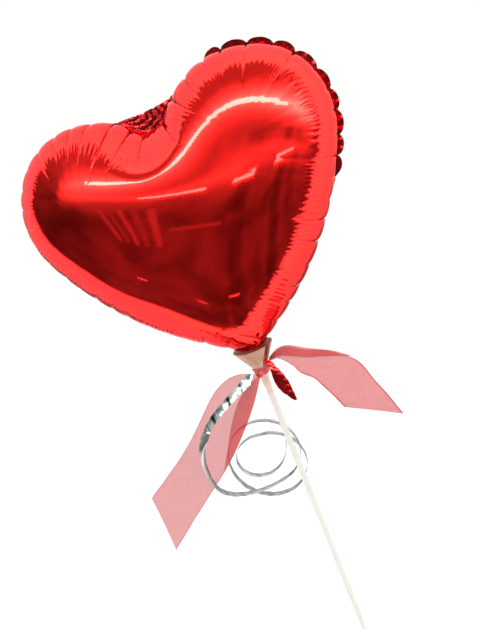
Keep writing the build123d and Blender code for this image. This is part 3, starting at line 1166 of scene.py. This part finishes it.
# ================================================================ camera
AZIMUTH, ELEVATION, ROLL = 12.71, 13.0, -21.73      # degrees
DISTANCE = 362 * MM
az, el, roll = (math.radians(a) for a in (AZIMUTH, ELEVATION, ROLL))
back = Vector((math.sin(az) * math.cos(el), -math.cos(az) * math.cos(el), math.sin(el)))
level = Vector((math.cos(az), math.sin(az), 0))
upright = back.cross(level)
right = math.cos(roll) * level + math.sin(roll) * upright
up = -math.sin(roll) * level + math.cos(roll) * upright
stick_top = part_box("stick")[1].z
aim = Vector((0, 0, stick_top + 62.9 * MM))
eye = aim + right * 3.7 * MM + up * -12.3 * MM + back * DISTANCE
camera_data = bpy.data.cameras.new("camera")
camera_data.lens = 33.75
camera_data.sensor_width = 36.0
camera_data.clip_start = 0.01
camera = add_object("camera", camera_data)
camera.matrix_world = Matrix((
    (right.x, up.x, back.x, eye.x),
    (right.y, up.y, back.y, eye.y),
    (right.z, up.z, back.z, eye.z),
    (0, 0, 0, 1),
))
bpy.context.scene.camera = camera


# ================================================================ floor, room and lights
def emitter(name, strength):
    """A white glowing material."""
    m = bpy.data.materials.new(name)
    m.use_nodes = True
    t = m.node_tree
    t.nodes.clear()
    e = node(t, "ShaderNodeEmission", Strength=strength, Color=(1, 1, 1, 1))
    out = node(t, "ShaderNodeOutputMaterial")
    t.links.new(e.outputs[0], out.inputs["Surface"])
    return m


def stage_quad(name, centre, across, upward, mat, camera_sees=False):
    """A flat panel given by its centre and two half edges."""
    c, a, b = Vector(centre), Vector(across), Vector(upward)
    mesh = bpy.data.meshes.new(name)
    mesh.from_pydata([c - a - b, c + a - b, c + a + b, c - a + b], [], [(0, 1, 2, 3)])
    mesh.materials.append(mat)
    obj = add_object(name, mesh)
    obj.visible_camera = camera_sees
    obj.visible_diffuse = camera_sees
    obj.visible_shadow = False
    return obj


floor_material, floor_tree, floor_shader = material("floor")
finish_shader(floor_tree, floor_shader, Base_Color=(0.10, 0.10, 0.098, 1), Roughness=0.8,
              Emission_Color=(1.0, 0.996, 0.990, 1), Emission_Strength=0.92)
floor = stage_quad("floor", (0, 0, -1.5 * MM), (6, 0, 0), (0, 6, 0), floor_material,
                   camera_sees=True)
floor.visible_glossy = False

# the room is built from directions of sight in the camera's right, up and back: white behind
# the balloon, a bright ceiling with lamps and a darker lower part on the camera's side
world = bpy.data.worlds.new("room")
bpy.context.scene.world = world
world.use_nodes = True
wt = world.node_tree
background = wt.nodes["Background"]
sight = node(wt, "ShaderNodeTexCoord").outputs["Generated"]
light_path = node(wt, "ShaderNodeLightPath")
mirrored = light_path.outputs["Is Glossy Ray"]


def facing(direction):
    """How far a direction of sight points along a given direction."""
    n = node(wt, "ShaderNodeVectorMath", operation="DOT_PRODUCT")
    n.inputs[1].default_value = direction
    wt.links.new(sight, n.inputs[0])
    return n.outputs["Value"]


def remap(value, low, high, to_low, to_high):
    return map_range(wt, value, low, high, to_low, to_high)


def combine(operation, a, *others):
    """A chain of maths: a, then the operation with each of the others in turn."""
    for other in others:
        a = maths(wt, operation, a, other)
    return a


def room_noise(scale, low, high, to_low, to_high, distortion):
    value = noise(wt, sight, scale, 2.5, Distortion=distortion)
    return remap(value, low, high, to_low, to_high)


def dark_upright(offset, width, depth):
    """A darker upright strip to one side of the room, below the lamps."""
    across = maths(wt, "ABSOLUTE", combine("SUBTRACT", facing(right + 0.12 * up), offset))
    strip_shade = remap(across, width * 0.45, width, depth, 1.0)
    return combine("MAXIMUM", strip_shade, remap(facing(up), 0.02, 0.22, 0.0, 1.0))


def lamp_glow(plane_normal, width, strength):
    """Soft glow on the ceiling on both sides of a tube light, seen in the film only."""
    glow = remap(maths(wt, "ABSOLUTE", facing(plane_normal)), 0.0, width, 1.0, 0.0)
    ahead = remap(facing(back), 0.3, 0.6, 0.0, strength)
    return combine("MULTIPLY", combine("POWER", glow, 3.0), ahead, mirrored)


def blend_values(a, b, factor):
    """a where factor is 0, b where it is 1."""
    n = node(wt, "ShaderNodeMix", data_type="FLOAT")
    for key, value in ((0, factor), (2, a), (3, b)):
        if isinstance(value, float):
            n.inputs[key].default_value = value
        else:
            wt.links.new(value, n.inputs[key])
    return n.outputs[0]


heights = ramp(wt, remap(facing(up), -1.0, 1.0, 0.0, 1.0), [
    (0.0, 0.36), (0.36, 0.40), (0.44, 0.56), (0.52, 0.84), (0.60, 0.98), (0.80, 0.86), (1.0, 0.86)])
to_grey = node(wt, "ShaderNodeRGBToBW")
wt.links.new(heights, to_grey.inputs["Color"])
clutter = combine("MAXIMUM", room_noise(3.2, 0.38, 0.62, 0.62, 1.15, 0.3),
                  remap(facing(up), -0.05, 0.25, 0.0, 1.0))
room_light = combine("MULTIPLY", to_grey.outputs["Val"],
                     remap(facing(right), -0.98, -0.72, 0.40, 1.0),
                     dark_upright(0.64, 0.075, 0.55), dark_upright(0.80, 0.05, 0.75),
                     dark_upright(0.16, 0.12, 0.70), clutter, 0.88)
near_glow = combine("MULTIPLY", lamp_glow(0.834 * up - 0.552 * back, 0.38, 8.5),
                    remap(facing(right), 0.0, 0.45, 1.0, 2.2))
far_glow = lamp_glow(0.106 * right + 0.99 * up - 0.083 * back, 0.16, 1.6)
room_light = combine("ADD", room_light, near_glow, far_glow)

# the white wall reaches further round towards the camera above the balloon than beside it,
# and less far below it
wall_edge = combine("ADD", facing(back - 0.18 * right),
                    remap(facing(up), 0.0, 1.0, 0.0, -0.48),
                    remap(facing(up), -1.0, 0.0, 0.12, 0.0))
is_wall = remap(wall_edge, 0.04, -0.03, 0.0, 1.0)
# in the film it is brightest beside the balloon, dimmer straight behind it and has soft shapes
far_shapes = room_noise(2.6, 0.40, 0.60, 0.30, 1.0, 0.8)
far_part = remap(facing(-back), 0.55, 0.80, 0.0, 1.0)
wall_gain = remap(facing(-back), -0.20, 0.75, 4.7, 1.40)
wall_light = combine("MULTIPLY", blend_values(1.0, far_shapes, far_part), wall_gain)
seen = blend_values(room_light, blend_values(1.0, wall_light, mirrored), is_wall)
seen = blend_values(seen, 1.0, light_path.outputs["Is Camera Ray"])
wt.links.new(seen, background.inputs["Strength"])
background.inputs["Color"].default_value = (1.0, 0.998, 0.99, 1)

# lamps, and grey slats and a shelf like those of a room, that show in the film
middle = Vector((0, -0.04, 0.32))


def place(x, y, z):
    """A point at distances from the middle in the camera's right, up and back directions."""
    return middle + right * x + up * y + back * z


def tube(name, start, end, distance, half_width, strength):
    """A straight lamp facing the balloon, between two (right, up) places at a distance."""
    a, b = place(*start, distance), place(*end, distance)
    along_tube = (b - a) / 2
    across = along_tube.cross(back).normalized() * half_width
    return stage_quad(name, (a + b) / 2, along_tube, across, emitter(name, strength))


tube("tube_near", (-1.75, 0.80), (0.90, 0.80), 1.2, 0.060, 48.0)
tube("tube_far_left", (-1.14, 0.22), (-0.37, 0.06), 1.5, 0.022, 20.0)
tube("tube_far_middle", (0.05, 0.0), (0.46, -0.03), 1.5, 0.022, 20.0)
tube("tube_far_right", (1.00, -0.07), (1.80, -0.07), 1.5, 0.022, 20.0)
for k in range(5):
    tube("slat_%d" % k, (-1.30 + 0.16 * k, -0.10), (-1.22 + 0.15 * k, -0.75), 1.0, 0.035,
         0.75 - 0.25 * (k % 2))
tube("shelf", (-0.55, -0.55), (0.05, -0.60), 1.1, 0.03, 0.60)
tube("low_lamp_a", (-0.9, -1.20), (-0.75, -1.25), 0.5, 0.05, 3.0)
tube("low_lamp_b", (0.25, -1.30), (0.50, -1.30), 0.5, 0.04, 3.0)
tube("low_lamp_c", (-0.25, -1.35), (-0.20, -1.45), 0.35, 0.05, 2.5)


def soft_light(name, spot, target, size, power):
    """A square area light that the film doesn't mirror."""
    data = bpy.data.lights.new(name, "AREA")
    data.shape = "SQUARE"
    data.size = size
    data.energy = power
    light = add_object(name, data)
    light.location = spot
    light.rotation_mode = "QUATERNION"
    light.rotation_quaternion = (Vector(target) - Vector(spot)).to_track_quat("-Z", "Y")
    light.visible_glossy = False


soft_light("key", (-0.5, -1.1, 1.4), (0, 0, 0.2), 1.0, 10)

bpy.context.scene.view_settings.view_transform = "Standard"
